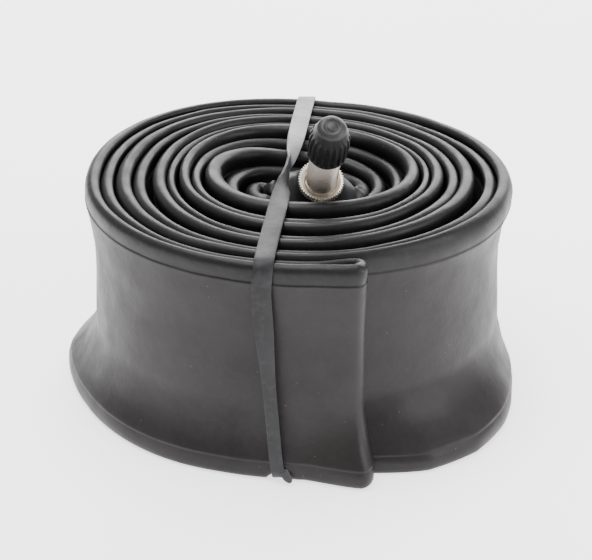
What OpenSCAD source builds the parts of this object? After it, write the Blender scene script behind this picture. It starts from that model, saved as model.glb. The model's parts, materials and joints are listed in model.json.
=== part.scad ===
// Bicycle inner tube for a 28 inch wheel, with a car-type metal valve.
// The empty tube is flattened, folded double and rolled into a coil that stands on
// its tread side. A flat rubber band goes over the top, down both sides and underneath.
// Units are millimetres. +Z is up, the origin is at the centre of the bounding box's base.

/* [Rolled tube] */
// Width of the flattened tube, which is the height of the coil
tube_w = 55; // [48:1:60]
// How far the inner laps sink below the rim of the coil
sink = 7; // [4:0.5:9]
// Number of laps of the doubled tube
laps = 5.295; // [5.2:0.005:5.4]
// Radius of the doubled tube's middle line at the inner fold
core_r = 3.2; // [3.1:0.1:3.5]
// Extra half length of the innermost lap, which is drawn out sideways
core_long = 7; // [5:0.5:8]
// Half width of the ellipse that the innermost lap is drawn out along
core_wide = 0.8; // [0.5:0.1:1.5]
// How far the inner laps sit behind the centre of the coil
core_back = 7; // [6.5:0.1:7.2]
// Thickness of the flattened tube, two walls and the air left between them
layer = 3.3; // [3:0.1:3.4]
// Gap between neighbouring layers
layer_gap = 0.25; // [0.2:0.05:0.4]
// Wall thickness of the tube
wall = 0.9; // [0.8:0.05:1.1]
// Solid edge below the air space
edge = 3; // [2.5:0.25:4]
// Solid edge above the air space
top_edge = 3; // [2.75:0.25:3.5]
// Where the tall outer laps begin, in laps from the inner fold
step_lap = 1.6; // [1.5:0.1:1.8]

/* [Valve] */
// Where the valve stands, in laps from the inner fold
valve_lap = 0.26; // [0.25:0.005:0.28]
// Lean of the valve from vertical, in degrees
lean = 38; // [34:0.5:40]
// Direction of the lean, in degrees round the vertical
yaw = 8.3; // [0:0.1:15]
// Height of the rubber base under the nut
base_h = 4.5; // [4:0.25:5]
// Radius of the rubber base where it meets the tube
base_r = 7; // [6.5:0.1:7.2]
// Outer radius of the stem's thread
stem_r = 3.875; // [3.85:0.005:3.9]
// Height of the stem's tip above the rubber base
stem_top = 22.6; // [22.2:0.1:23]
// Thickness of the knurled nut
nut_h = 1.8; // [1.6:0.1:2.2]
// Outer radius of the knurled nut
nut_r = 5.75; // [5.5:0.05:5.9]
// Number of teeth on the nut's edge
nut_teeth = 48; // [36:2:60]
// Height of the cap's skirt above the rubber base
cap_z = 15.8; // [15:0.1:16.2]
// Height of the cap
cap_h = 12.6; // [12.2:0.1:13]
// Radius of the cap over its ribs
cap_r = 4.95; // [4.85:0.05:5.2]
// Number of ribs round the cap
cap_ribs = 20; // [16:1:24]

/* [Rubber band] */
// Width of the band
band_w = 4.6; // [4:0.2:5]
// Thickness of the band
band_t = 1; // [0.8:0.1:1.2]
// Angle between the band's plane and the front-to-back line, in degrees
band_yaw = -5.6; // [-6:0.1:-5]
// Sideways place of the band's middle
band_x = -3.1; // [-3.3:0.1:-3]

/* [Hidden] */
$fn = 64;

eps = 0.01;
// how far a cutting shape runs past the surface it starts from
over = 1;
// radial clearance of a thread's plain stand-in
run_fit = 0.06;

// coil: the doubled tube is two layers, one either side of its middle line
layer_pitch = layer + layer_gap;
double_half = layer_pitch / 2 + layer / 2;
air_half = layer / 2 - wall;
lap_pitch = 2 * layer_pitch;
core_loose = 2 * norm([core_long, core_back]) / laps;
stations_per_lap = 30;
fold_steps = 8;
// the steps in the body and in its air space each fall between two stations
body_step = (round(step_lap * stations_per_lap) + 0.5) / stations_per_lap;
air_step = body_step + 1 / stations_per_lap;
inner_h = tube_w - sink;

// rubber band and the groove that it presses into the underside
band_gap = 0.3;
band_floor = 0.25;
groove_w = band_w + 0.8;
groove_h = band_floor + band_t + band_gap;
slice_t = 0.02;
// [place along the band, roll] where its upper run turns on edge beside the valve
band_turns = [[24, 0], [14, 45], [5, 90], [-3, 45], [-12, 0]];

// rubber base: it stands on the inner laps, in a seat a little wider than itself, and
// its root fills the hole through the tube's edge
base_rise = 0.9;
base_rim = 1;
base_top_r = 5;
seat_gap = 0.3;
seat_h = 12;
root_r = 5;
root_h = 3;
passage_r = 0.7;

// stem and nut, heights along the valve from the top of the rubber base
foot_z = -3.8;
foot_h = 1;
foot_r = 5.5;
air_r = 1.9;
tip_bevel = 0.5;
tooth_depth = 0.25;
sink_h = 0.8;
sink_w = 0.9;
relief_h = 0.7;
relief_r = 3.5;

// valve core, on the same heights
chamber_z = stem_top - 17.4;
chamber_r = 2.3;
cone_z = stem_top - 9.4;
cone_h = 1.4;
thread_r = 2.62;
barrel_z = stem_top - 12.8;
barrel_r = 2.05;
barrel_in = 1.5;
barrel_floor = 0.8;
lip_z = stem_top - 4.5;
lip_h = 0.4;
plug_z = stem_top - 3.9;
plug_h = 1.8;
tongue_h = 1.3;
tongue_w = 2.7;
plug_r = 2.56;
neck_r = 1.05;
swivel_r = 1.4;
swivel_h = 0.7;
port_r = 0.4;
port_x = 1.95;
pin_r = 0.75;
pin_bore = 0.83;
pin_z = stem_top - 15.8;
pin_top = stem_top - 0.3;
collar_z = stem_top - 6.1;
collar_h = 0.5;
collar_r = 1.3;
cup_z = stem_top - 14.8;
cup_r = 1.85;
cup_h = 1.5;
cup_floor = 0.6;
washer_r = 1.6;
spring_r = 1.15;
wire_r = 0.17;
spring_turns = 6;
wire_gap = 0.02;

// disc inside the cap, and the cap's outline above its ribbed skirt
seal_z = stem_top + 0.05;
seal_h = 1.3;
seal_r = 3.7;
skirt_r = cap_r - 0.3;
skirt_h = 6.5;
rib_w = 0.7;
rib_end = 0.5;
shoulder_r = 4.3;
shoulder_h = 2.5;
dome_r = 3.5;
top_r = 2.9;
top_h = 0.7;
dome_h = cap_h - skirt_h - shoulder_h - top_h;
dimple_r = 2;
dimple_w = 0.8;
dimple_h = 0.4;

// ---- coil: the middle line of the doubled tube ----

function lap_angle(t) = 180 + 360 * t;

// point on the flat ellipse whose outward normal has angle a
function core_point(a) =
    let (x = core_long * cos(a), y = core_wide * sin(a), n = norm([x, y]))
    [core_long * x / n, core_wide * y / n];

// radius at lap t: laps lie a pitch apart outside and are wound more loosely near the core
function lap_r(t) = core_r + lap_pitch * t + core_loose * (t - t * t / (2 * laps));

function middle(t) =
    let (a = lap_angle(t), fade = (1 - t / laps)^2)
    [0, core_back * fade] + fade * core_point(a) + lap_r(t) * [cos(a), sin(a)];

// unit vector along the middle line, and the one to its right, away from the centre
function along(t) = let (d = middle(t + 0.001) - middle(t - 0.001)) d / norm(d);
function outward(t) = let (d = along(t)) [d[1], -d[0]];

// the stations of neighbouring laps lie at the same angles, so their facets stay parallel
function side_points(last, off) =
    let (n = ceil(last * stations_per_lap - 0.001))
    [for (i = [0:n]) let (t = min(i / stations_per_lap, last)) middle(t) + off * outward(t)];

// half circle round the end of the line, from the outer side to the inner side
function fold_points(t, half, way) =
    [for (i = [1:fold_steps - 1]) let (a = 180 * i / fold_steps)
        middle(t) + half * (cos(a) * outward(t) + way * sin(a) * along(t))];

function reversed(v) = [for (i = [len(v) - 1:-1:0]) v[i]];

// outline of the doubled tube from the inner fold to lap last, half wide to each side; it
// ends in the outer fold, or square if it stops before that
function lap_outline(half, last) =
    concat(side_points(last, half),
           last < laps ? [] : fold_points(laps, half, 1),
           reversed(side_points(last, -half)),
           reversed(fold_points(0, half, -1)));

// the coil's own box, which puts the origin in its middle
coil = lap_outline(double_half, laps);
coil_x = [for (p = coil) p[0]];
coil_y = [for (p = coil) p[1]];
centre = [max(coil_x) + min(coil_x), max(coil_y) + min(coil_y)] / 2;
half_depth = (max(coil_y) - min(coil_y)) / 2;

// the valve stands on the layer that faces the middle of the coil
valve_foot = middle(valve_lap) - layer_pitch / 2 * outward(valve_lap) - centre;

// both layers of the doubled tube, each 2 * half thick
module both_layers(half, h) {
    translate([-centre[0], -centre[1], 0])
        difference() {
            linear_extrude(h)
                polygon(lap_outline(layer_pitch / 2 + half, laps));
            translate([0, 0, -over])
                linear_extrude(h + 2 * over)
                    polygon(lap_outline(layer_pitch / 2 - half, laps));
        }
}

// cutting shape over the inner laps up to lap last; its sides lie in the gap between laps
module over_inner_laps(last) {
    translate([-centre[0], -centre[1], 0])
        linear_extrude(tube_w)
            polygon(lap_outline(double_half + 0.4 * layer_gap, last));
}

// places a shape on the valve's axis, with z = 0 at the top of the rubber base
module at_valve() {
    translate([valve_foot[0], valve_foot[1], inner_h + base_rise])
        rotate([lean, 0, yaw])
            translate([0, 0, base_h])
                children();
}

// places a shape in the band's plane, with +Y along the band
module at_band() {
    translate([band_x, 0, 0])
        rotate([0, 0, band_yaw])
            children();
}

module ring(r_out, r_in, h) {
    difference() {
        cylinder(r = r_out, h = h);
        translate([0, 0, -over])
            cylinder(r = r_in, h = h + 2 * over);
    }
}

// ---- sub-parts ----

// plug of rubber under the base, which closes the hole in the tube's edge
module base_root() {
    translate([0, 0, -base_h - root_h])
        cylinder(r = root_r, h = root_h + eps);
}

// air passage from the middle of the base down into the tube's air space
module air_passage() {
    translate([valve_foot[0], valve_foot[1], inner_h - top_edge - over])
        cylinder(r = passage_r, h = top_edge + base_rise + 2 * over);
}

// butyl tube: one closed ring with its air space, flattened, doubled and rolled
module tube_casing() {
    color([0.27, 0.26, 0.26])
        difference() {
            both_layers(layer / 2, tube_w);
            translate([0, 0, inner_h])
                over_inner_laps(body_step);
            // air space, which is lower inside the inner laps too
            difference() {
                translate([0, 0, edge])
                    both_layers(air_half, tube_w - edge - top_edge);
                translate([0, 0, inner_h - top_edge])
                    over_inner_laps(air_step);
            }
            // groove under the band
            at_band()
                translate([-groove_w / 2, -half_depth - groove_w, -over])
                    cube([groove_w, 2 * (half_depth + groove_w), groove_h + over]);
            // seat of the valve's base
            at_valve() {
                base_root();
                translate([0, 0, -base_h])
                    cylinder(r = base_r + seat_gap, h = seat_h);
            }
            air_passage();
        }
}

// rubber base, moulded round the stem's foot and vulcanised to the tube
module valve_base() {
    color([0.36, 0.36, 0.37])
        difference() {
            at_valve()
                difference() {
                    union() {
                        base_root();
                        translate([0, 0, -base_h])
                            cylinder(r = base_r, h = base_rim);
                        translate([0, 0, base_rim - base_h])
                            cylinder(r1 = base_r, r2 = base_top_r, h = base_h - base_rim);
                    }
                    translate([0, 0, foot_z])
                        cylinder(r = foot_r, h = foot_h);
                    translate([0, 0, foot_z])
                        cylinder(r = stem_r, h = over - foot_z);
                    translate([0, 0, -base_h])
                        cylinder(r = air_r, h = base_h);
                }
            air_passage();
        }
}

// nickel-plated brass stem; its two thread reliefs lie under the nut and under the cap
module valve_stem() {
    color([0.80, 0.77, 0.73])
        at_valve()
            difference() {
                union() {
                    translate([0, 0, foot_z])
                        cylinder(r = foot_r, h = foot_h);
                    translate([0, 0, foot_z])
                        cylinder(r = stem_r, h = stem_top - foot_z - tip_bevel);
                    translate([0, 0, stem_top - tip_bevel])
                        cylinder(r1 = stem_r, r2 = stem_r - tip_bevel, h = tip_bevel);
                }
                translate([0, 0, nut_h - relief_h])
                    ring(stem_r + over, relief_r, relief_h);
                translate([0, 0, cap_z])
                    ring(stem_r + over, relief_r, relief_h);
                translate([0, 0, foot_z - over])
                    cylinder(r = air_r, h = chamber_z - foot_z + 2 * over);
                translate([0, 0, chamber_z])
                    cylinder(r = chamber_r, h = cone_z - chamber_z + eps);
                translate([0, 0, cone_z])
                    cylinder(r1 = chamber_r, r2 = thread_r, h = cone_h);
                translate([0, 0, cone_z + cone_h])
                    cylinder(r = thread_r, h = stem_top - cone_z - cone_h + over);
            }
}

function toothed_circle(r, depth, teeth) =
    [for (i = [0:2 * teeth - 1]) let (a = 180 * i / teeth, q = r - (i % 2) * depth)
        [q * cos(a), q * sin(a)]];

// thin round nut with a serrated edge and a countersunk top
module rim_nut() {
    color([0.83, 0.80, 0.75])
        at_valve()
            difference() {
                linear_extrude(nut_h)
                    polygon(toothed_circle(nut_r, tooth_depth, nut_teeth));
                translate([0, 0, -over])
                    cylinder(r = stem_r + run_fit, h = nut_h + 2 * over);
                translate([0, 0, nut_h - sink_h])
                    cylinder(r1 = stem_r, r2 = stem_r + sink_w, h = sink_h + eps);
            }
}

// threaded plug of the valve core, with the flat tongue that the core tool grips
module core_plug() {
    color([0.78, 0.68, 0.42])
        at_valve()
            difference() {
                union() {
                    translate([0, 0, plug_z])
                        cylinder(r = plug_r, h = plug_h);
                    translate([0, 0, plug_z + plug_h])
                        intersection() {
                            cylinder(r = plug_r - 0.2, h = tongue_h);
                            translate([-plug_r, -tongue_w / 2, 0])
                                cube([2 * plug_r, tongue_w, tongue_h]);
                        }
                    translate([0, 0, lip_z - over])
                        cylinder(r = neck_r, h = plug_z - lip_z + over + 0.1);
                    // swivel head, held under the barrel's lip
                    translate([0, 0, lip_z - 0.1 - swivel_h])
                        cylinder(r = swivel_r, h = swivel_h);
                }
                translate([0, 0, lip_z - 2 * over])
                    cylinder(r = pin_bore, h = stem_top - lip_z + 2 * over);
                // air passages beside the tongue
                for (side = [-1, 1])
                    translate([0, side * port_x, plug_z - over])
                        cylinder(r = port_r, h = plug_h + 2 * over);
            }
}

// barrel of the valve core, crimped round the plug's swivel
module core_barrel() {
    color([0.80, 0.70, 0.45])
        at_valve()
            difference() {
                translate([0, 0, barrel_z])
                    cylinder(r = barrel_r, h = lip_z + lip_h - barrel_z);
                translate([0, 0, barrel_z - over])
                    cylinder(r = pin_bore + 0.1, h = barrel_floor + 2 * over);
                translate([0, 0, barrel_z + barrel_floor])
                    cylinder(r = barrel_in, h = lip_z - barrel_z - barrel_floor);
                translate([0, 0, lip_z - over])
                    cylinder(r = neck_r + 0.1, h = lip_h + 2 * over);
            }
}

// sealing ring between the barrel and the cone inside the stem
module core_gasket() {
    color([0.75, 0.12, 0.10])
        at_valve()
            translate([0, 0, cone_z])
                difference() {
                    cylinder(r1 = chamber_r - 0.02, r2 = thread_r - 0.02, h = cone_h);
                    translate([0, 0, -over])
                        cylinder(r = barrel_r + eps, h = cone_h + 2 * over);
                }
}

// pin that opens the valve when it is pressed, with the collar that the spring lifts
module core_pin() {
    color([0.84, 0.80, 0.68])
        at_valve() {
            translate([0, 0, pin_z])
                cylinder(r = pin_r, h = pin_top - pin_z);
            translate([0, 0, collar_z])
                cylinder(r = collar_r, h = collar_h);
        }
}

// metal cup on the pin's lower end, which carries the rubber washer
module core_cup() {
    color([0.78, 0.70, 0.48])
        at_valve()
            translate([0, 0, cup_z])
                difference() {
                    cylinder(r = cup_r, h = cup_h);
                    translate([0, 0, -over])
                        cylinder(r = pin_r + eps, h = cup_h + 2 * over);
                    translate([0, 0, cup_floor])
                        cylinder(r = washer_r + eps, h = cup_h);
                }
}

// rubber washer that closes against the barrel's lower end
module core_seat_washer() {
    color([0.12, 0.12, 0.12])
        at_valve()
            translate([0, 0, cup_z + cup_floor])
                ring(washer_r, pin_r + eps, barrel_z - cup_z - cup_floor - 0.02);
}

// rings of a round wire wound into a coil spring, from height 0 to height h
function spring_rings(h, steps, sides) =
    [for (i = [0:steps]) let (a = 360 * spring_turns * i / steps, z = h * i / steps)
        for (k = [0:sides - 1]) let (b = 360 * k / sides, r = spring_r + wire_r * cos(b))
            [r * cos(a), r * sin(a), z + wire_r * sin(b)]];

function spring_faces(steps, sides) =
    concat([[for (k = [0:sides - 1]) k]],
           [for (i = [0:steps - 1]) for (k = [0:sides - 1])
               let (p = i * sides, q = (k + 1) % sides)
               [p + k, p + sides + k, p + sides + q, p + q]],
           [[for (k = [sides - 1:-1:0]) steps * sides + k]]);

// coil spring inside the barrel, which holds the pin up and the valve shut
module core_spring() {
    steps = 12 * spring_turns;
    low = barrel_z + barrel_floor + wire_r + wire_gap;
    high = collar_z - wire_r - wire_gap;
    color([0.72, 0.72, 0.74])
        at_valve()
            translate([0, 0, low])
                polyhedron(spring_rings(high - low, steps, 6), spring_faces(steps, 6));
}

// plastic cap: ribbed skirt, tapered shoulder and a domed top with a round dimple
module dust_cap() {
    color([0.10, 0.10, 0.11])
        at_valve()
            translate([0, 0, cap_z])
                difference() {
                    union() {
                        cylinder(r = skirt_r, h = skirt_h);
                        for (i = [0:cap_ribs - 1])
                            rotate([0, 0, 360 * i / cap_ribs])
                                translate([0, -rib_w / 2, 0])
                                    cube([cap_r, rib_w, skirt_h - rib_end]);
                        translate([0, 0, skirt_h])
                            cylinder(r1 = skirt_r, r2 = shoulder_r, h = shoulder_h);
                        translate([0, 0, skirt_h + shoulder_h])
                            cylinder(r1 = shoulder_r, r2 = dome_r, h = dome_h);
                        translate([0, 0, cap_h - top_h])
                            cylinder(r1 = dome_r, r2 = top_r, h = top_h);
                    }
                    translate([0, 0, -over])
                        cylinder(r = stem_r + run_fit, h = seal_z + seal_h + 0.05 - cap_z + over);
                    translate([0, 0, cap_h - dimple_h])
                        ring(dimple_r, dimple_r - dimple_w, over);
                }
}

// rubber disc inside the cap, which seals on the stem's tip
module cap_seal() {
    color([0.20, 0.20, 0.20])
        at_valve()
            translate([0, 0, seal_z])
                cylinder(r = seal_r, h = seal_h);
}

// thin slice of the band at one of its turns
module band_slice(turn) {
    translate([0, turn[0], tube_w + band_gap + band_t / 2])
        rotate([0, turn[1], 0])
            cube([band_w, slice_t, band_t], center = true);
}

// elastic band; its upper run turns on edge beside the valve
module rubber_band() {
    reach = half_depth + band_gap;
    turned_from = band_turns[0][0];
    turned_to = band_turns[len(band_turns) - 1][0];
    color([0.50, 0.50, 0.51])
        at_band() {
            for (side = [-1, 1])
                translate([-band_w / 2, side > 0 ? reach : -reach - band_t, band_floor])
                    cube([band_w, band_t, tube_w + band_gap + band_t - band_floor]);
            translate([-band_w / 2, -reach - band_t / 2, band_floor])
                cube([band_w, 2 * reach + band_t, band_t]);
            translate([-band_w / 2, turned_from, tube_w + band_gap])
                cube([band_w, reach - turned_from + band_t / 2, band_t]);
            translate([-band_w / 2, -reach - band_t / 2, tube_w + band_gap])
                cube([band_w, reach + turned_to + band_t / 2, band_t]);
            for (i = [1:len(band_turns) - 1])
                hull() {
                    band_slice(band_turns[i - 1]);
                    band_slice(band_turns[i]);
                }
        }
}

tube_casing();
valve_base();
valve_stem();
rim_nut();
core_plug();
core_barrel();
core_gasket();
core_pin();
core_cup();
core_seat_washer();
core_spring();
dust_cap();
cap_seal();
rubber_band();
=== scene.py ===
"""Looks of a rolled bicycle inner tube with a metal valve, its cap and a rubber band.

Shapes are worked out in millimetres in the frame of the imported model, and made in metres.
"""

import json
import math

import bpy
import numpy as np
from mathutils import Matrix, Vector, noise


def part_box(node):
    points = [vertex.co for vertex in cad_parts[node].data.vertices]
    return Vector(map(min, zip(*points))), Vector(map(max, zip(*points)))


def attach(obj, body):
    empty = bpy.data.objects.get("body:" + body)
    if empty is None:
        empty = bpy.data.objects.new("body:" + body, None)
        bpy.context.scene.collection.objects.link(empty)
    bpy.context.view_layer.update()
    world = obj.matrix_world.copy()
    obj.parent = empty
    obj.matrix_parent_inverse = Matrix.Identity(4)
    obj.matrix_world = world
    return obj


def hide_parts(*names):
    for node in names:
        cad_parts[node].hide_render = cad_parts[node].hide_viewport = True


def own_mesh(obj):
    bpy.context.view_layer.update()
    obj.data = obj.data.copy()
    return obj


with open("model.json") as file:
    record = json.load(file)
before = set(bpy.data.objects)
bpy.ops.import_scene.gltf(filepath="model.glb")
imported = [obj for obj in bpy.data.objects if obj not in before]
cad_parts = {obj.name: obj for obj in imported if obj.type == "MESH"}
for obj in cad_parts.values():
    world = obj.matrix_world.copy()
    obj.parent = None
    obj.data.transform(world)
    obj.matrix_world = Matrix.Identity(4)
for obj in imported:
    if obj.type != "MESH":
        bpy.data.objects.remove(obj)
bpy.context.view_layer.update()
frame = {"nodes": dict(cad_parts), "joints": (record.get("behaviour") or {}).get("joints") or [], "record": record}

MM = 0.001
NODES = frame["nodes"]
JOINT = {j["name"]: j for j in frame["joints"]}


# ---------------------------------------------------------------- helpers


def smooth(x):
    """Smooth step from 0 to 1, for numbers and arrays."""
    x = np.clip(x, 0.0, 1.0)
    return x * x * (3 - 2 * x)


def wave(x, y=0.0, z=0.0):
    """Smooth noise from about -1 to 1."""
    return noise.noise(Vector((x, y, z)))


def mesh_piece(name, points, faces, body, material, replaced=(), angle=None):
    """A mesh in millimetres becomes a piece that rides on a body."""
    mesh = bpy.data.meshes.new(name)
    mesh.from_pydata([tuple(float(c) * MM for c in p) for p in points], [], faces)
    mesh.validate()
    mesh.polygons.foreach_set("use_smooth", [True] * len(mesh.polygons))
    if angle is not None:
        mesh.set_sharp_from_angle(angle=math.radians(angle))
    mesh.update()
    piece = bpy.data.objects.new(name, mesh)
    bpy.context.scene.collection.objects.link(piece)
    piece.data.materials.append(material)
    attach(piece, body)
    if replaced:
        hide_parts(*replaced)
    return piece


def grid_faces(rows, around, closed_rows=True):
    """Quads of a grid of rows of points; each row is a ring, and the rows may form a ring too."""
    faces = []
    for i in range(rows if closed_rows else rows - 1):
        a, b = i * around, ((i + 1) % rows) * around
        for k in range(around):
            n = (k + 1) % around
            faces.append((a + k, a + n, b + n, b + k))
    return faces


def capped_faces(rows, around):
    """Quads of an open run of rings, with a face that closes each end."""
    last = (rows - 1) * around
    ends = [tuple(range(around - 1, -1, -1)), tuple(range(last, last + around))]
    return grid_faces(rows, around, closed_rows=False) + ends


def mark_points(piece, name, values):
    """Gives each point of a piece a number that its material reads."""
    attribute = piece.data.attributes.new(name, "FLOAT", "POINT")
    attribute.data.foreach_set("value", np.asarray(values, dtype=np.float32))


def by_key(table, key):
    """The value at a key, in a table of (key, value) with straight lines between."""
    return np.interp(key, [k[0] for k in table], [k[1] for k in table])


# ---------------------------------------------------------------- materials


class Nodes:
    """Short calls for building a node material."""

    def __init__(self, name):
        self.material = bpy.data.materials.new(name)
        self.material.use_nodes = True
        self.tree = self.material.node_tree
        self.shader = self.tree.nodes["Principled BSDF"]
        self.coords = self.tree.nodes.new("ShaderNodeTexCoord").outputs["Object"]

    def link(self, a, b):
        self.tree.links.new(a, b)

    def noise(self, scale, detail=3.0, rough=0.55):
        node = self.tree.nodes.new("ShaderNodeTexNoise")
        node.inputs["Scale"].default_value = scale
        node.inputs["Detail"].default_value = detail
        node.inputs["Roughness"].default_value = rough
        self.link(self.coords, node.inputs["Vector"])
        return node.outputs["Fac"]

    def specks(self, scale, size):
        """1 on sparse small dots, 0 elsewhere."""
        cells = self.tree.nodes.new("ShaderNodeTexVoronoi")
        cells.inputs["Scale"].default_value = scale
        self.link(self.coords, cells.inputs["Vector"])
        return self.ramp(cells.outputs["Distance"], [(0.0, (1, 1, 1)), (size, (0, 0, 0))])

    def ramp(self, factor, stops):
        node = self.tree.nodes.new("ShaderNodeValToRGB")
        ramp = node.color_ramp
        while len(ramp.elements) < len(stops):
            ramp.elements.new(0.5)
        for element, (place, colour) in zip(ramp.elements, stops):
            element.position = place
            element.color = (*colour, 1)
        self.link(factor, node.inputs["Fac"])
        return node.outputs["Color"]

    def mix(self, factor, a, b):
        node = self.tree.nodes.new("ShaderNodeMix")
        node.data_type = "RGBA"
        for socket, value in ((node.inputs[0], factor), (node.inputs[6], a), (node.inputs[7], b)):
            if isinstance(value, (int, float)):
                socket.default_value = value
            elif isinstance(value, tuple):
                socket.default_value = (*value, 1)
            else:
                self.link(value, socket)
        return node.outputs[2]

    def math(self, kind, a, b):
        node = self.tree.nodes.new("ShaderNodeMath")
        node.operation = kind
        for socket, value in zip(node.inputs, (a, b)):
            if isinstance(value, (int, float)):
                socket.default_value = value
            else:
                self.link(value, socket)
        return node.outputs[0]

    def bump(self, height, distance, strength=1.0, after=None):
        node = self.tree.nodes.new("ShaderNodeBump")
        node.inputs["Distance"].default_value = distance
        node.inputs["Strength"].default_value = strength
        self.link(height, node.inputs["Height"])
        if after is not None:
            self.link(after, node.inputs["Normal"])
        return node.outputs["Normal"]


def rubber(name, dark, light, rough, dust=0.0, bloom=(0.2, 0.2, 0.2), mark=None, tint=None):
    """Matt rubber: blotchy tone, a fine powder bloom, specks of dust and a fine skin.
    Where the mesh's attribute mark is 1 the rubber takes the colour tint."""
    m = Nodes(name)
    blotch = m.noise(55, 4, 0.6)
    colour = m.ramp(blotch, [(0.33, dark), (0.7, light)])
    if mark:
        marked = m.tree.nodes.new("ShaderNodeAttribute")
        marked.attribute_name = mark
        tinted = m.ramp(m.noise(38, 4, 0.65), [(0.3, tuple(0.66 * c for c in tint)), (0.5, tint),
                                               (0.72, tuple(1.3 * c for c in tint))])
        colour = m.mix(marked.outputs["Fac"], colour, tinted)
    fine = m.noise(620, 3, 0.6)
    colour = m.mix(m.ramp(fine, [(0.45, (0, 0, 0)), (0.8, (0.35, 0.35, 0.35))]), colour, bloom)
    if dust:
        colour = m.mix(m.math("MULTIPLY", m.specks(310, 0.055), dust), colour, (0.45, 0.45, 0.44))
    m.link(colour, m.shader.inputs["Base Color"])
    roughness = m.ramp(m.noise(140, 3), [(0.3, (rough - 0.07,) * 3), (0.75, (rough + 0.09,) * 3)])
    m.link(roughness, m.shader.inputs["Roughness"])
    skin = m.bump(m.noise(1500, 2), 0.00004, 0.6)
    m.link(m.bump(m.noise(230, 4, 0.6), 0.00016, 0.7, skin), m.shader.inputs["Normal"])
    m.shader.inputs["Specular IOR Level"].default_value = 0.22
    return m.material


def metal(name, low, high, rough):
    """Plated or turned metal, a little uneven in tone and in gloss."""
    m = Nodes(name)
    m.link(m.ramp(m.noise(170, 2), [(0.3, low), (0.7, high)]), m.shader.inputs["Base Color"])
    m.shader.inputs["Metallic"].default_value = 1.0
    level = m.ramp(m.noise(240, 2), [(0.3, (rough - 0.03,) * 3), (0.75, (rough + 0.04,) * 3)])
    m.link(level, m.shader.inputs["Roughness"])
    return m.material


def plastic(name, dark, light, rough):
    """Moulded plastic with a fine spark-eroded grain."""
    m = Nodes(name)
    m.link(m.ramp(m.noise(300, 3), [(0.3, dark), (0.75, light)]), m.shader.inputs["Base Color"])
    level = m.ramp(m.noise(500, 3), [(0.3, (rough - 0.06,) * 3), (0.75, (rough + 0.08,) * 3)])
    m.link(level, m.shader.inputs["Roughness"])
    m.shader.inputs["Specular IOR Level"].default_value = 0.42
    m.link(m.bump(m.noise(1800, 2), 0.00003, 0.6), m.shader.inputs["Normal"])
    return m.material


tube_rubber = rubber("tube_rubber", (0.006, 0.006, 0.0065), (0.011, 0.0107, 0.0115), 0.42, dust=0.25,
                     bloom=(0.022, 0.0215, 0.023), mark="wall", tint=(0.0160, 0.0136, 0.0139))
base_rubber = rubber("base_rubber", (0.016, 0.016, 0.017), (0.026, 0.026, 0.028), 0.42,
                     bloom=(0.05, 0.05, 0.05))
# The band's tint is painted light: its marked points are painted pale grey, a painted highlight on the rear of its
# upper run, and a little lighter on the fold at its foot.
band_rubber = rubber("band_rubber", (0.015, 0.015, 0.016), (0.027, 0.027, 0.029), 0.5, dust=0.15,
                     bloom=(0.05, 0.05, 0.053), mark="painted_light", tint=(0.30, 0.30, 0.31))
nickel = metal("nickel", (0.60, 0.53, 0.46), (0.70, 0.63, 0.56), 0.34)
nut_nickel = metal("nut_nickel", (0.80, 0.75, 0.66), (0.88, 0.84, 0.76), 0.4)
brass = metal("core_brass", (0.60, 0.43, 0.18), (0.80, 0.62, 0.30), 0.3)
spring_steel = metal("spring_steel", (0.45, 0.45, 0.46), (0.66, 0.66, 0.67), 0.22)
core_seal = rubber("core_seal", (0.30, 0.02, 0.015), (0.42, 0.035, 0.025), 0.5, bloom=(0.4, 0.1, 0.1))
washer_rubber = rubber("washer_rubber", (0.015, 0.015, 0.015), (0.03, 0.03, 0.03), 0.55,
                       bloom=(0.06, 0.06, 0.06))
cap_plastic = plastic("cap_plastic", (0.016, 0.016, 0.016), (0.026, 0.026, 0.026), 0.42)


# ---------------------------------------------------------------- camera, floor and light

CAMERA_PLACE = (0.0, -0.45677, 0.25837)
CAMERA_AIM = (-0.00045, 0.0, 0.02588)
LENS = 123.28
FLOOR_HALF = 6.0
FLOOR_GLOW = 1.7
SKY_STRENGTH = 0.66

scene = bpy.context.scene


def build_camera():
    camera = bpy.data.objects.new("camera", bpy.data.cameras.new("camera"))
    scene.collection.objects.link(camera)
    camera.location = CAMERA_PLACE
    aim = Vector(CAMERA_AIM) - camera.location
    camera.rotation_euler = aim.to_track_quat("-Z", "Y").to_euler()
    camera.data.sensor_fit = "HORIZONTAL"
    camera.data.sensor_width = 36.0
    camera.data.lens = LENS
    camera.data.clip_start = 0.01
    scene.camera = camera


def build_floor():
    """White paper, lit a little from within so that it stays pale."""
    mesh = bpy.data.meshes.new("floor")
    e = FLOOR_HALF
    mesh.from_pydata([(-e, -e, 0), (e, -e, 0), (e, e, 0), (-e, e, 0)], [], [(0, 1, 2, 3)])
    floor = bpy.data.objects.new("floor", mesh)
    scene.collection.objects.link(floor)
    paper = Nodes("floor_paper")
    paper.link(paper.ramp(paper.noise(6, 2), [(0.3, (0.9, 0.9, 0.9)), (0.7, (0.93, 0.93, 0.93))]),
               paper.shader.inputs["Base Color"])
    paper.shader.inputs["Roughness"].default_value = 0.9
    paper.shader.inputs["Emission Color"].default_value = (1, 1, 1, 1)
    paper.shader.inputs["Emission Strength"].default_value = FLOOR_GLOW
    floor.data.materials.append(paper.material)


def build_sky():
    world = bpy.data.worlds.new("studio")
    scene.world = world
    world.use_nodes = True
    world.node_tree.nodes["Background"].inputs["Color"].default_value = (1, 1, 1, 1)
    world.node_tree.nodes["Background"].inputs["Strength"].default_value = SKY_STRENGTH


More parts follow.
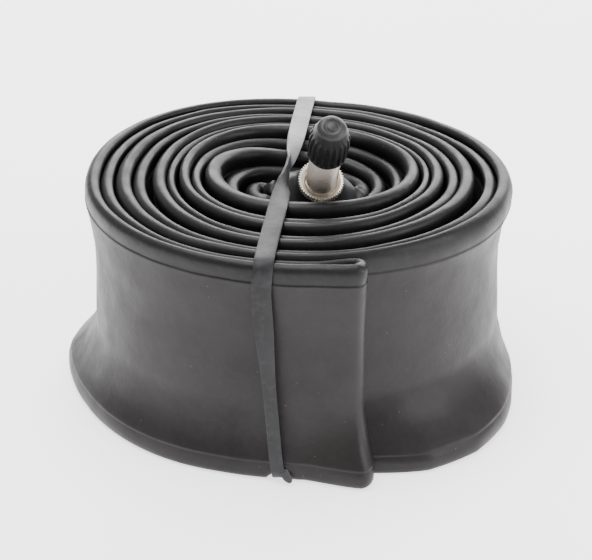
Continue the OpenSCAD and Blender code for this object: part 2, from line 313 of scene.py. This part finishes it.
def softbox(name, place, size, watts):
    lamp = bpy.data.lights.new(name, "AREA")
    lamp.shape = "RECTANGLE"
    lamp.size, lamp.size_y = size
    lamp.energy = watts
    holder = bpy.data.objects.new(name, lamp)
    scene.collection.objects.link(holder)
    holder.location = place
    holder.rotation_euler = (Vector((0, 0, 0.03)) - Vector(place)).to_track_quat("-Z", "Y").to_euler()


build_camera()
build_floor()
build_sky()
softbox("key_light", (-0.15, 0.1, 0.9), (0.8, 0.6), 12.0)
softbox("fill_light", (0.75, -0.3, 0.4), (0.6, 0.6), 5.5)
softbox("rear_light", (0.15, 0.8, 0.4), (1.0, 0.4), 12.0)


# ---------------------------------------------------------------- the path of the rolled tube

# The same coil as in the CAD part: a doubled tube, wound round an elongated inner fold.
LAPS = 5.295
LAYER = 3.3
PITCH = 3.55
CORE_R = 3.2
CORE_LONG = 7.0
CORE_WIDE = 0.8
CORE_BACK = 7.0
CORE_LOOSE = 2 * math.hypot(CORE_LONG, CORE_BACK) / LAPS
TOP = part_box("tube_casing")[1].z / MM


def raw_middle(t):
    a = math.pi * (1 + 2 * t)
    x, y = CORE_LONG * math.cos(a), CORE_WIDE * math.sin(a)
    n = math.hypot(x, y)
    fade = (1 - t / LAPS) ** 2
    r = CORE_R + 2 * PITCH * t + CORE_LOOSE * (t - t * t / (2 * LAPS))
    return np.array([fade * CORE_LONG * x / n + r * math.cos(a),
                     fade * (CORE_BACK + CORE_WIDE * y / n) + r * math.sin(a)])


def along(t):
    d = raw_middle(t + 0.001) - raw_middle(t - 0.001)
    return d / np.linalg.norm(d)


def outward(t):
    d = along(t)
    return np.array([d[1], -d[0]])


outer = np.array([raw_middle(t) + (PITCH + LAYER) / 2 * outward(t)
                  for t in np.linspace(LAPS - 1.02, LAPS, 400)])
CENTRE = np.array([outer[:, 0].max() + outer[:, 0].min(), outer[:, 1].max() + outer[:, 1].min()]) / 2

# the outer fold ends a little short of the CAD's
T_END = 5.284
STATIONS_PER_LAP = 230
FOLD_STEPS = 18


def stations():
    """Places round the closed tube: (place, away from the doubled tube's middle, lap, side).
    Side is 1 on the outer run, -1 on the inner run and between them in a fold."""
    n = int(T_END * STATIONS_PER_LAP)
    laps = np.linspace(0, T_END, n)
    found = []
    for t in laps[::-1]:
        found.append((raw_middle(t) + PITCH / 2 * outward(t), outward(t), t, 1.0))
    for k in range(1, FOLD_STEPS):
        a = math.pi * k / FOLD_STEPS
        d = math.cos(a) * outward(0) - math.sin(a) * along(0)
        found.append((raw_middle(0) + PITCH / 2 * d, d, 0.0, math.cos(a)))
    for t in laps:
        found.append((raw_middle(t) - PITCH / 2 * outward(t), -outward(t), t, -1.0))
    for k in range(1, FOLD_STEPS):
        a = math.pi * (1 - k / FOLD_STEPS)
        d = math.cos(a) * outward(T_END) + math.sin(a) * along(T_END)
        found.append((raw_middle(T_END) + PITCH / 2 * d, d, T_END, math.cos(a)))
    return found


# heights below a crest at which the section has points: the bead, its crease, the wall
BEAD_LEVELS = [0.08, 0.35, 0.8, 1.4, 2.2, 3.0, 3.8, 4.45, 4.7, 4.85, 5.3, 6.5, 9.0]
CREASE = 4.7
WALL_LEVELS = [0.18, 0.26, 0.34, 0.42, 0.5, 0.58, 0.66, 0.74, 0.82]
# half the thickness of the bead and of the wall, and how much thinner the crease between them is
BEAD = 1.6
WALL = 1.6
CREASE_TOP = 0.34
CREASE_LOW = 0.08
LIP = 0.22
# the laps between which the outer run is a little thicker
TALL_RUN = (1.0, 1.8)
# lap and spread of the small creases across that run, and of the crease line that runs lower
WRINKLES = (1.38, 0.07)
DEEP_CREASE = (4.4, 0.13)


def half_thickness(v, bead, body, crease):
    """Half the tube's thickness at a height v below its folded edge."""
    if v < bead:
        return bead * math.sqrt(max(0.0, 1 - (1 - v / bead) ** 2))
    neck = bead - crease
    if v < CREASE:
        return bead + (neck - bead) * float(smooth((v - bead) / (CREASE - bead))) ** 1.4
    # the wall starts with a thin raised lip just under the crease
    lip = LIP * float(smooth((v - CREASE) / 0.13)) * (1 - float(smooth((v - CREASE - 0.2) / 1.2)))
    return neck + (body - neck) * float(smooth((v - CREASE) / 5.0)) + lip


# height of the upper folded edge by lap: the laps near the middle sit lower
CRESTS = {1: [(0, -7.6), (0.3, -7.2), (0.55, -5.6), (0.75, -3.4), (0.95, -1.3), (1.1, -0.3), (1.3, 0.0)],
          -1: [(0, -7.6), (0.5, -7.2), (1.0, -5.2), (1.5, -4.0), (1.75, -2.4), (2.0, -1.2), (2.3, -0.7)]}


def crest_height(t, side):
    share = (side + 1) / 2
    return TOP + share * float(by_key(CRESTS[1], t)) + (1 - share) * float(by_key(CRESTS[-1], t))


def section_levels(top, stretch):
    """Heights of the section's points, from its upper edge down to the floor."""
    levels = [top] + [top - v * stretch for v in BEAD_LEVELS]
    wall_top, wall_low = levels[-1], BEAD_LEVELS[-1]
    levels += [wall_top + (wall_low - wall_top) * f for f in WALL_LEVELS]
    return levels + BEAD_LEVELS[::-1] + [0.0]


def section(place, normal, t, side, s):
    """The outline across the tube at a length s along it: down its outer face and up its inner."""
    near_fold = float(smooth(1 - (T_END - t) / 0.03))
    in_flap = float(smooth(1 - (T_END - t) / 0.09))
    bead = BEAD + 0.12 * side + 0.12 * wave(s / 23, 1.3) + 0.06 * wave(s / 7, 4.1)
    body = WALL + 0.06 * wave(s / 31, 7.7)
    crease = CREASE_TOP + 0.1 * wave(s / 15, 2.9)
    top = crest_height(t, side) + 0.45 * wave(s / 38, 9.1) + 0.12 * wave(s / 9, 3.3)
    # the loop at the outer fold opens a little
    place = place + (0.35 * in_flap + 0.8 * near_fold) * side * outward(t)
    if TALL_RUN[0] < t < TALL_RUN[1] and side > 0:
        wrinkle = math.sin(2 * math.pi * s / 2.7 + 2 * wave(s / 5))
        bead += 0.22
        bead += 0.09 * math.exp(-(((t - WRINKLES[0]) / WRINKLES[1]) ** 2)) * wrinkle
    # the crease runs lower on the right of the flap, and wanders a little everywhere
    deeper = 0.3 * math.exp(-(((t - DEEP_CREASE[0]) / DEEP_CREASE[1]) ** 2))
    stretch = 1 + 0.07 * wave(s / 26, 6.1) + deeper
    levels = section_levels(top, stretch)
    halves = []
    for z in levels:
        if top - z < z:
            halves.append(half_thickness((top - z) / stretch, bead, body, crease))
        else:
            halves.append(half_thickness(z, bead, body, CREASE_LOW))
    halves[0] = halves[-1] = 0.0
    sway = 0.18 * wave(s / 19, 5.5)
    ring = []
    for z, h in zip(levels, halves):
        ring.append((*(place - CENTRE + (h + sway * z / TOP) * normal), z))
    for z, h in list(zip(levels, halves))[-2:0:-1]:
        ring.append((*(place - CENTRE - (h - sway * z / TOP) * normal), z))
    return ring


def section_marks():
    """1 on the walls, 0 on the folded edge above its crease, in the order of a section's points."""
    fade = [0.0] * 7 + [0.15, 0.35, 0.6, 0.8]
    count = len(section_levels(TOP, 1))
    down = fade + [1.0] * (count - len(fade))
    return down + down[-2:0:-1]


places = stations()
lengths = np.cumsum([0.0] + [float(np.linalg.norm(places[i + 1][0] - places[i][0]))
                             for i in range(len(places) - 1)])
sections = [section(*where, s) for where, s in zip(places, lengths)]
AROUND = len(sections[0])
lap_of = np.repeat([p[2] for p in places], AROUND)
side_of = np.repeat([p[3] for p in places], AROUND)


# ---------------------------------------------------------------- how the laps really lie

# [radius in the CAD coil, radius in the real coil] to the left, front, right and rear
EYE = np.array([0.5, 4.0])
LIE = {
    180: [(0, 0), (10, 10.6), (15.2, 16.9), (18.8, 22.0), (26.6, 28.6), (34.3, 34.4), (49.1, 50.2)],
    270: [(0, 0), (8, 8.8), (16.6, 20.6), (27.7, 31.8), (37.8, 40.9), (46.6, 47.7), (54.4, 53.0)],
    360: [(0, 0), (10, 10.8), (14, 16.4), (25.3, 28.4), (33.1, 33.9), (40.7, 41.2), (48.1, 49.0)],
    90: [(0, 0), (8, 8.4), (12.9, 14.6), (24.1, 28.9), (31.7, 34.6), (39.1, 40.6), (46.4, 47.0)],
}


def lie(p):
    """Moves points outward or inward round the coil's eye, so no lap passes through another."""
    d = p[:, :2] - EYE
    r = np.hypot(d[:, 0], d[:, 1])
    a = np.degrees(np.arctan2(d[:, 1], d[:, 0])) % 360
    total = np.zeros(len(r))
    for direction, knots in LIE.items():
        off = np.abs((a - direction + 180) % 360 - 180) / 90
        beyond = np.maximum(r - knots[-1][0], 0)
        total += smooth(1 - off) * (by_key(knots, r) + beyond)
    out = p.copy()
    out[:, :2] = EYE + d * (total / np.maximum(r, 1e-6))[:, None]
    return out


# outermost surface of the coil over its last lap, before its rim and its skirt bulge
rim_line = lie(np.column_stack([outer - CENTRE, np.zeros(len(outer))]))
rim_radius = np.hypot(rim_line[:, 0], rim_line[:, 1])
rim_lap = np.linspace(LAPS - 1.02, LAPS, len(outer))

# radius of the outermost lap at the floor, by lap
SKIRT = [(4.2, 50.0), (4.27, 51.0), (4.3, 54.5), (4.33, 58.6), (4.37, 59.8), (4.41, 58.4), (4.45, 55.8),
         (4.5, 54.2), (4.62, 53.0), (4.75, 53.0), (4.87, 55.5), (4.95, 59.0), (4.99, 59.8), (5.03, 57.6),
         (5.06, 56.4), (5.1, 55.6), (5.14, 54.9), (5.19, 53.7), (5.23, 53.4), (5.25, 53.9), (5.268, 56.2),
         (5.284, 58.6)]
OUTER_LAP = 4.275
# how far the rim bulges, and how far its crest is above or below the CAD's, by direction
RIM_BULGE = [(0, 2.4), (45, 1.0), (80, 0.3), (110, 2.0), (140, 3.4), (175, 1.6), (215, 0.8),
             (260, 0.5), (300, 0.8), (330, 2.2), (360, 2.4)]
CREST_SHIFT = [(0, -0.2), (45, -1.2), (80, -0.9), (120, 0.6), (150, 0.9), (190, 0.2), (230, 0.0),
               (290, 0.0), (330, 0.2), (360, -0.2)]
# height and spread of the rim's bulge and of the waist below it
RIM_AT = (50.5, 5.2)
WAIST_AT = (34, 12)
WAIST = 0.7


def skirt(t):
    """How far the wall of lap t is spread at the floor, in mm."""
    edge = np.interp(t, rim_lap, rim_radius)
    beneath = 0.7 * np.clip((t - 3.0) / 1.27, 0, 1)
    above = np.interp(t + 1, rim_lap, rim_radius)
    inner = beneath * np.maximum(by_key(SKIRT, t + 1) - above, 0)
    return np.where(t >= OUTER_LAP, by_key(SKIRT, t) - edge, inner)


def settle(p):
    """The skirt that spreads on the floor, the rim's bulge and the waist between them."""
    r = np.hypot(p[:, 0], p[:, 1])
    a = np.degrees(np.arctan2(p[:, 1], p[:, 0])) % 360
    z = p[:, 2]
    outer_share = smooth((lap_of - 3.3) / 1.0)
    low = smooth((15.0 - z) / 12.5) * (0.95 + 0.05 * side_of)
    flare = skirt(lap_of) * low
    rim = by_key(RIM_BULGE, a) * np.exp(-(((z - RIM_AT[0]) / RIM_AT[1]) ** 2)) * outer_share
    waist = -WAIST * np.exp(-(((z - WAIST_AT[0]) / WAIST_AT[1]) ** 2)) * outer_share
    grow = 1 + (flare + rim + waist) / np.maximum(r, 1)
    out = p.copy()
    out[:, 0] *= grow
    out[:, 1] *= grow
    out[:, 2] = z + by_key(CREST_SHIFT, a) * smooth((z - 20) / 30) * smooth(r / 35)
    return out


# the valve's axis: origin at the top of its rubber base
AXIS = Vector(JOINT["nut_slide"]["axis"]).normalized()
ORIGIN = Vector(JOINT["cap_spin"]["pos_m"]) / MM
SIDE = Vector((1, 0, 0))
SIDE = (SIDE - SIDE.dot(AXIS) * AXIS).normalized()
BACK = AXIS.cross(SIDE)
# the base's pad is longer than it is wide, and its rim droops at its ends and at the rear
PAD_STRETCH = 1.35
PAD_SHIFT = -0.9
PAD_UNDER = -5.2
END_DROOP = 0.9
REAR_DROOP = 2.0


def seat(p):
    """The laps under the valve meet the underside of its base."""
    d = p - np.array(ORIGIN)
    h = d @ np.array(AXIS)
    along_pad = (d @ np.array(SIDE) - PAD_SHIFT) / PAD_STRETCH
    back = d @ np.array(BACK)
    off = np.hypot(along_pad, back)
    wanted = PAD_UNDER - END_DROOP * smooth(np.abs(along_pad) / 8) - REAR_DROOP * smooth(back / 8)
    rise = (wanted - h) / AXIS.z
    near = smooth((10.2 - off) / 2.6)
    top_share = smooth((p[:, 2] - 34) / 12)
    # laps far from the pad's height stay, and none is raised by more than 2.5 mm
    move = np.where(np.abs(rise) < 16, rise, 0.0)
    out = p.copy()
    out[:, 2] += near * top_share * np.minimum(move, 2.5)
    return out


BAND_W = 4.6
BAND_T = 0.9
# height by which the coil's lower edge is lifted over the band
BAND_LIFT = 1.3


def band_x(y, z):
    """Sideways place of the band's middle: over the top it runs from front to back, slightly
    askew, down the front it comes back towards the middle, and under the coil it runs to the rear."""
    over_top = -2.75 + 0.1 * y
    front = -8.7 + (52 - z) * 0.078
    under = -0.94 + 0.066 * y
    sides = np.where(y < -30, front + (over_top - front) * smooth((z - 46) / 10), over_top)
    return np.where((z < 4) & (np.abs(y) < 54), under, sides)


def rest_on_band(p):
    """The coil rests on the band, so its lower edge is raised a little there."""
    to_band = np.abs(p[:, 0] - band_x(p[:, 1], 0 * p[:, 1]))
    under_band = smooth((BAND_W / 2 + 0.8 - to_band) / 1.1) * smooth((4 - p[:, 2]) / 3.5)
    out = p.copy()
    out[:, 2] += BAND_LIFT * under_band
    return out


points = rest_on_band(seat(settle(lie(np.array(sections).reshape(-1, 3)))))
tube = mesh_piece("rolled_tube", points, grid_faces(len(sections), AROUND), "tube",
                  tube_rubber, ["tube_casing"])
mark_points(tube, "wall", np.tile(section_marks(), len(sections)))


# ---------------------------------------------------------------- the rubber band

BAND_STEPS = 420
# the band's path starts near this place (y, z), at the foot of its front
BAND_START = (-56, 2)
# [place along the band, turn] where its upper run turns on edge beside the valve
BAND_TURNS = [(-20, 0), (-10, 34), (-5, 74), (0, 88), (6, 90), (11, 66), (24, 22), (38, 6)]
# a slice of the band, across and out, as shares of its width and thickness
BAND_SLICE = ((-0.5, -0.3), (-0.42, -0.5), (0, -0.47), (0.42, -0.5), (0.5, -0.3),
              (0.5, 0.3), (0.42, 0.5), (0, 0.47), (-0.42, 0.5), (-0.5, 0.3))


def hull(points_2d):
    """Convex hull, anticlockwise."""
    pts = sorted(set(map(tuple, points_2d)))

    def half(seq):
        out = []
        for p in seq:
            while len(out) > 1 and ((out[-1][0] - out[-2][0]) * (p[1] - out[-2][1])
                                    - (out[-1][1] - out[-2][1]) * (p[0] - out[-2][0])) <= 0:
                out.pop()
            out.append(p)
        return out[:-1]

    return half(pts) + half(pts[::-1])


def eased(line):
    """A closed line with each point moved towards its neighbours."""
    return (np.roll(line, 1, axis=0) + 2 * line + np.roll(line, -1, axis=0)) / 4


def band_path():
    """The band is stretched round the coil, so it follows the hull of the coil's section. Its
    points are (y, z, x), at equal steps."""
    near = np.abs(points[:, 0] - band_x(points[:, 1], points[:, 2])) < BAND_W / 2 - 0.2
    outline = np.array(hull(np.round(points[near][:, 1:3], 3)))
    start = int(np.argmin(np.abs(outline - np.array(BAND_START)).sum(axis=1)))
    outline = np.roll(outline, -start, axis=0)
    closed = np.vstack([outline, outline[:1]])
    steps = np.concatenate([[0], np.cumsum(np.linalg.norm(np.diff(closed, axis=0), axis=1))])
    spots = np.linspace(0, steps[-1], BAND_STEPS, endpoint=False)
    y = np.interp(spots, steps, closed[:, 0])
    z = np.interp(spots, steps, closed[:, 1])
    path = np.column_stack([y, z])
    for _ in range(3):
        path = eased(path)
    x = band_x(y, z)
    for _ in range(12):
        x = eased(x)
    return np.column_stack([path, x])


def band_ring(path, i):
    """The slice of the band at step i."""
    y, z, x = path[i]
    ahead, behind = path[(i + 1) % BAND_STEPS], path[i - 1]
    tangent = Vector((0, ahead[0] - behind[0], ahead[1] - behind[1])).normalized()
    across = Vector((1, 0, 0))
    out = tangent.cross(across) * -1
    if out.dot(Vector((0, y, z - 26))) < 0:
        out = -out
    lift = BAND_T / 2 + 0.1
    turn = 0.0
    width = BAND_W - (1.5 * float(smooth((44 - z) / 22)) if y < -30 else 0.0)
    if z > 50 and abs(y) < 40:
        turn = math.radians(float(by_key(BAND_TURNS, y)))
        lift += 0.3 * math.sin(turn)
        width *= 1 - 0.12 * math.sin(turn)
    centre = Vector((x, y, z)) + lift * out
    centre += 0.12 * wave(i / 14.0, 2.2) * out
    w = math.cos(turn) * across - math.sin(turn) * out
    n = math.cos(turn) * out + math.sin(turn) * across
    return [centre + du * width * w + dn * BAND_T * n for du, dn in BAND_SLICE]


def build_band():
    """The band, with a painted highlight on the rear of its upper run, and a fold that sticks out at its foot."""
    path = band_path()
    strap_points = [p for i in range(BAND_STEPS) for p in band_ring(path, i)]
    band = mesh_piece("rubber_band_strap", strap_points, grid_faces(BAND_STEPS, len(BAND_SLICE)), "tube",
                      band_rubber, ["rubber_band"], angle=50)
    # painted highlight: the rear of the upper run, above 15 mm, is painted pale, fading in from y = 4 mm
    painted_light = [float(smooth((y - 4) / 6)) if z > 15 else 0.0 for y, z, x in path]
    mark_points(band, "painted_light", np.repeat(painted_light, len(BAND_SLICE)))
    foot = next(Vector((x, y, z)) for y, z, x in path if y < -50 and z < 6)
    build_fold(Vector((foot.x + 1.0, foot.y - 0.4, 3.4)))


FOLD_RUN = Vector((1.6, -1.9, -2.6))
FOLD_ROWS = 9
FOLD_HALF = 1.15
FOLD_SLICE = ((-1, -0.5), (-0.6, -1), (0.6, -1), (1, -0.5), (1, 0.5), (0.6, 1), (-0.6, 1), (-1, 0.5))
# share of painted light on the fold: painted a little lighter to offset the shade it sits in
FOLD_PAINTED_LIGHT = 0.12


def build_fold(start):
    """A short fold of the band, with a rounded end."""
    thick = FOLD_RUN.cross(Vector((1, 0, 0))).normalized() * BAND_T / 2
    fold_points = []
    for k in range(FOLD_ROWS):
        f = k / (FOLD_ROWS - 1)
        half = FOLD_HALF * math.sqrt(max(0.08, 1 - f ** 6))
        middle = start + f * FOLD_RUN
        fold_points += [middle + Vector((u * half, 0, 0)) + v * thick for u, v in FOLD_SLICE]
    fold = mesh_piece("rubber_band_fold", fold_points, capped_faces(FOLD_ROWS, len(FOLD_SLICE)), "tube",
                      band_rubber, angle=50)
    mark_points(fold, "painted_light", np.full(len(fold_points), FOLD_PAINTED_LIGHT))


build_band()


# ---------------------------------------------------------------- the valve


def on_axis(h, r, a):
    """A point at height h on the valve, at radius r and angle a."""
    return ORIGIN + h * AXIS + r * (math.cos(a) * SIDE + math.sin(a) * BACK)


def turned(name, rows, around, body, material, replaced=(), angle=None, ends=False):
    """A turned shape on the valve's axis. A row is (height, radius) or a function of the angle.
    With ends, the first and the last row are filled; without, the last row meets the first."""
    pts = []
    for row in rows:
        for k in range(around):
            a = 2 * math.pi * k / around
            h, r = row(a) if callable(row) else row
            pts.append(on_axis(h, r, a))
    faces = capped_faces(len(rows), around) if ends else grid_faces(len(rows), around)
    return mesh_piece(name, pts, faces, body, material, replaced, angle)


STEM_R = next(m["dims"]["r_mm"] for m in frame["record"]["mounts"] if m["name"] == "valve_stem")
STEM_TOP = 22.6
FOOT = -3.8
FOOT_R = 5.3
AIR_R = 1.95
THREAD = 0.79375
THREAD_START = -2.6
THREAD_DEPTH = 0.34
THREAD_STEPS = 8
CORE_THREADS = 18
CORE_THREAD_R = 2.62


def thread_row(h):
    def row(a):
        phase = (h / THREAD - a / (2 * math.pi)) % 1.0
        tooth = 0.5 + 0.5 * math.cos(2 * math.pi * phase)
        fade = float(smooth((STEM_TOP - 0.3 - h) / 0.7))
        tip = 0.45 * float(smooth((h - STEM_TOP + 0.55) / 0.5))
        return h, STEM_R - THREAD_DEPTH * (1 - tooth) * fade - tip
    return row


def build_stem():
    """The stem from its foot up its thread to its tip, and down its bore."""
    rows = [(FOOT, AIR_R), (FOOT, FOOT_R), (FOOT + 0.5, FOOT_R + 0.2), (FOOT + 1, FOOT_R),
            (FOOT + 1.05, STEM_R - 0.3)]
    threaded = STEM_TOP - 0.05 - THREAD_START
    count = int(threaded / THREAD * THREAD_STEPS)
    rows += [thread_row(THREAD_START + threaded * i / count) for i in range(count + 1)]
    rows += [(STEM_TOP, 3.25), (STEM_TOP, 2.95), (STEM_TOP - 0.25, 2.72)]
    for i in range(2 * CORE_THREADS):
        rows.append((STEM_TOP - 0.4 - 0.18 * i, CORE_THREAD_R + (0.1 if i % 2 else 0.0)))
    rows += [(14.7, 2.6), (13.3, 2.32), (5.3, 2.3), (5.1, AIR_R)]
    turned("valve_stem_threaded", rows, 96, "tube", nickel, ["valve_stem"], angle=70)


NUT_H = 1.8
NUT_R = 5.75
NUT_TEETH = 48


def nut_row(h, r, depth):
    def row(a):
        tooth = 0.5 + 0.5 * math.cos(NUT_TEETH * a)
        return h, r - depth * (1 - float(smooth((tooth - 0.22) / 0.45)))
    return row


def build_nut():
    """The round nut, with a serrated edge and a countersunk top."""
    rows = [(0.02, 3.95), (0.02, 5.2), nut_row(0.18, 5.55, 0.12), nut_row(0.34, NUT_R, 0.55),
            nut_row(0.9, NUT_R, 0.55), nut_row(1.55, NUT_R, 0.55), nut_row(1.7, 5.68, 0.52),
            nut_row(NUT_H, 5.56, 0.42), (NUT_H, 5.05), (NUT_H - 0.02, 4.98), (NUT_H - 0.1, 4.9),
            (NUT_H - 0.5, 4.34), (NUT_H - 0.62, 4.22), (NUT_H - 0.9, 3.96)]
    turned("knurled_nut", rows, NUT_TEETH * 8, "nut", nut_nickel, ["rim_nut"], angle=38)


CAP_Z = 15.8
RIBS = 20


def rib_row(h, r, height):
    """A row of the cap's skirt: rounded ribs stand on it."""
    def row(a):
        c = 0.5 + 0.5 * math.cos(RIBS * a)
        return CAP_Z + h, r + height * float(smooth((c - 0.35) / 0.5))
    return row


def build_cap():
    """The cap: its bore, its bead, its ribs, its shoulder and its dimpled top."""
    rows = [(CAP_Z + h, r) for h, r in ((9.0, 0.6), (9.0, 3.8), (8.8, 3.94), (0.5, 3.94), (0.05, 4.15),
                                        (0, 4.4), (0.08, 4.72), (0.25, 4.84), (0.55, 4.86))]
    rows.append(rib_row(0.75, 4.62, 0.26))
    rows += [rib_row(1.0 + 0.5 * i, 4.56, 0.4) for i in range(12)]
    rows += [rib_row(7.0, 4.5, 0.4), rib_row(7.5, 4.42, 0.38), rib_row(8.0, 4.36, 0.34),
             rib_row(8.5, 4.31, 0.28), rib_row(8.9, 4.27, 0.16)]
    rows += [(CAP_Z + h, r) for h, r in ((9.2, 4.24), (10.0, 3.98), (10.8, 3.74), (11.3, 3.6),
                                         (11.75, 3.4), (12.15, 3.02), (12.42, 2.56), (12.55, 2.2),
                                         (12.5, 1.98), (12.28, 1.82), (12.24, 1.5), (12.26, 1.3),
                                         (12.44, 1.16), (12.52, 0.9), (12.56, 0.3))]
    turned("ribbed_cap", rows, RIBS * 14, "cap", cap_plastic, ["dust_cap"], angle=50,
           ends=True)


# rubber base: a pad that thins out over the laps, and a rounded neck under the nut
BASE = [(-7.4, 4.6), (-4.9, 4.9), (-5.0, 7.0), (-4.85, 7.5), (-4.5, 7.6), (-4.05, 7.2), (-3.5, 6.6),
        (-2.8, 6.05), (-2.0, 5.7), (-1.2, 5.5), (-0.5, 5.35), (-0.15, 5.1), (-0.04, 4.6),
        (-0.04, 3.9), (-2.7, 3.7), (-7.4, 3.7)]
BASE_AROUND = 128


def build_base():
    base_points = []
    for h, r in BASE:
        pad = float(smooth((r - 5.2) / 2.0))
        for k in range(BASE_AROUND):
            a = 2 * math.pi * k / BASE_AROUND
            reach = r + 0.25 * pad * wave(1.6 * math.cos(a), 1.6 * math.sin(a), 4.0)
            side = reach * math.cos(a) * (1 + (PAD_STRETCH - 1) * pad) + PAD_SHIFT * pad
            droop = pad * (END_DROOP * math.cos(a) ** 2 + REAR_DROOP * max(0.0, math.sin(a)) ** 2)
            base_points.append(ORIGIN + (h - droop) * AXIS + side * SIDE + reach * math.sin(a) * BACK)
    mesh_piece("valve_base_moulded", base_points, grid_faces(len(BASE), BASE_AROUND), "tube",
               base_rubber, ["valve_base"], angle=60)


SPRING_LOW = 10.8
SPRING_HIGH = 16.3
SPRING_R = 1.15
WIRE = 0.17
WIRE_SIDES = 8
COILS = 6
COIL_STEPS = 28


def build_spring():
    """The core's spring."""
    steps = COILS * COIL_STEPS
    spring_points = []
    for i in range(steps + 1):
        a = 2 * math.pi * COILS * i / steps
        h = SPRING_LOW + (SPRING_HIGH - SPRING_LOW) * i / steps
        for k in range(WIRE_SIDES):
            b = 2 * math.pi * k / WIRE_SIDES
            spring_points.append(on_axis(h + WIRE * math.sin(b), SPRING_R + WIRE * math.cos(b), a))
    spring = mesh_piece("core_spring_coil", spring_points, capped_faces(steps + 1, WIRE_SIDES), "tube",
                        spring_steel, ["core_spring"])
    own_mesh(spring)


build_stem()
build_nut()
build_cap()
build_base()
build_spring()

# the rest of the core and the cap's seal keep their CAD shapes
for name, material in (("core_plug", brass), ("core_barrel", brass), ("core_gasket", core_seal),
                       ("core_pin", brass), ("core_cup", brass), ("core_seat_washer", washer_rubber),
                       ("cap_seal", washer_rubber)):
    NODES[name].data.materials.clear()
    NODES[name].data.materials.append(material)
